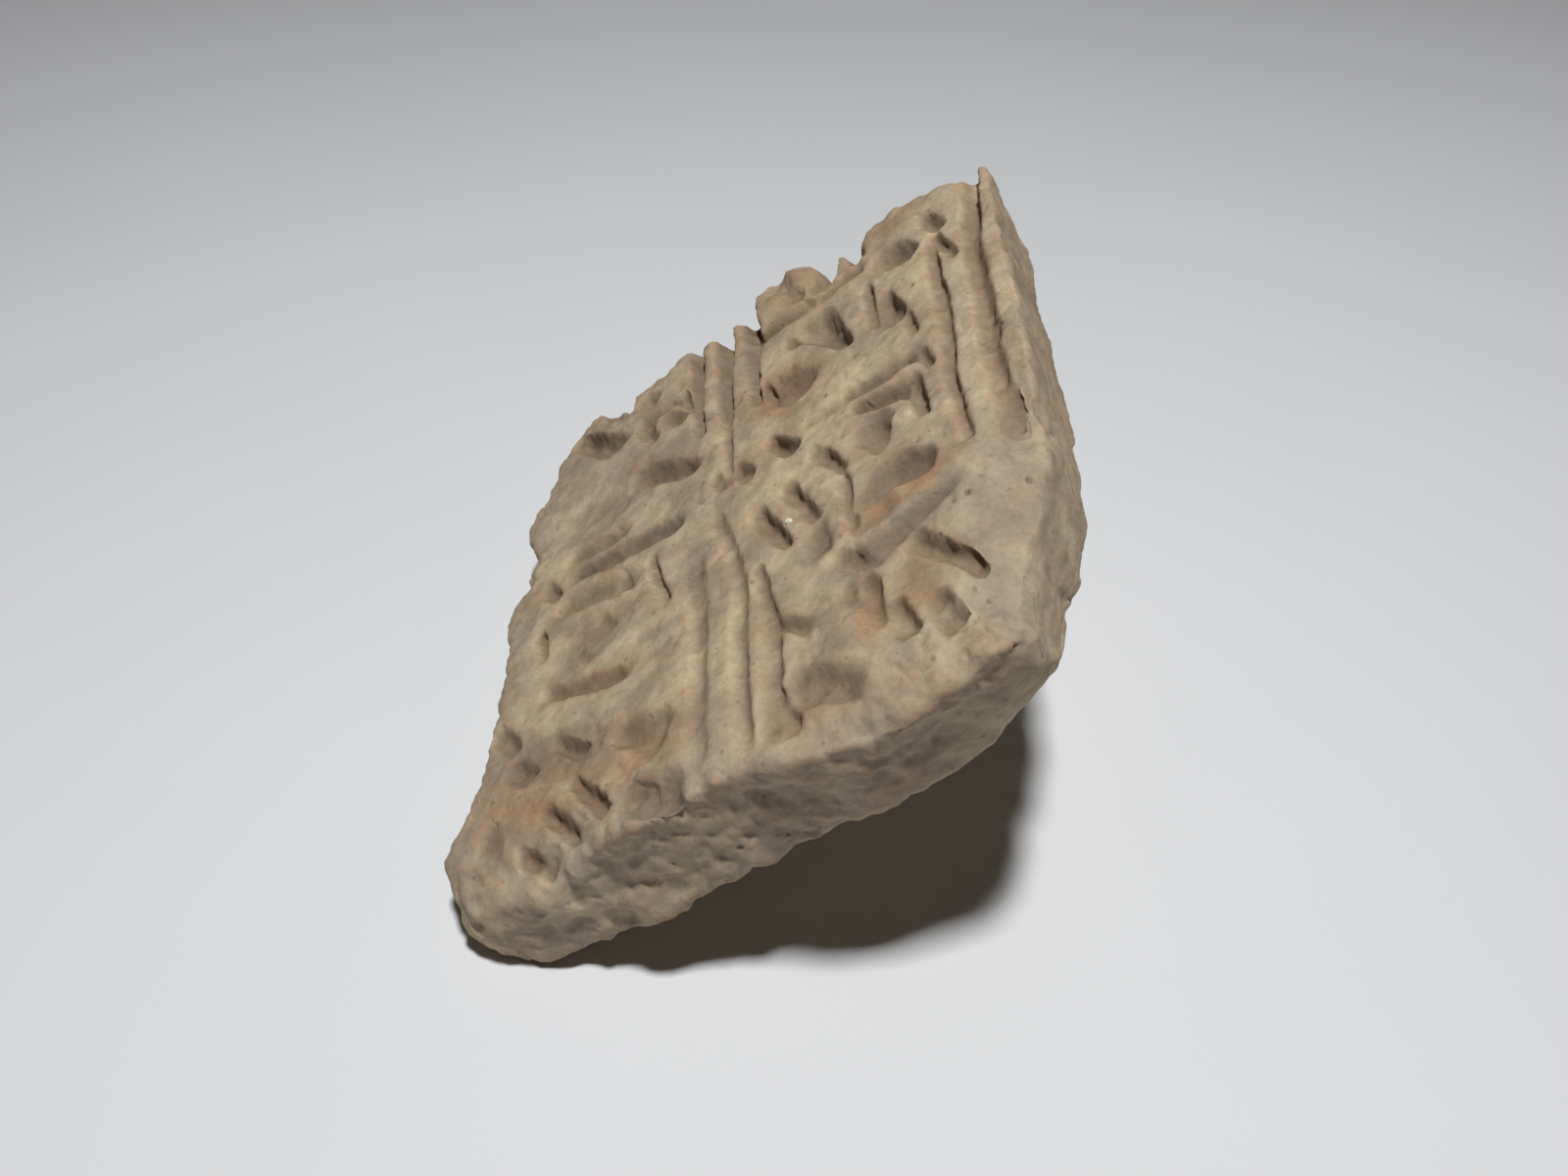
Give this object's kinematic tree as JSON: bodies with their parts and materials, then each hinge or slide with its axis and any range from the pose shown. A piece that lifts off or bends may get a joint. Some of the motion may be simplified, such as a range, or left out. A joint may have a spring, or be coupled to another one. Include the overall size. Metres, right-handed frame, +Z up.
{
  "type": "clay stamp seal",
  "caption": "Thick rectangular fired-clay stamp seal with a deeply carved, worn face of ridges and pits and a rounded grip on its back, lying tipped on one long edge.",
  "frame": {"origin": "middle of the seal's box, on the surface that it lies on", "axes": "+Y along the plate's long edge, which rests on the surface; the carved face rises towards +X; +Z up"},
  "size_m": [0.0552, 0.073, 0.0445],
  "materials": {
    "fired_clay": "matte, sandy, unglazed fired clay"
  },
  "bodies": {
    "root": {"seal": "fired_clay"}
  },
  "joints": []
}
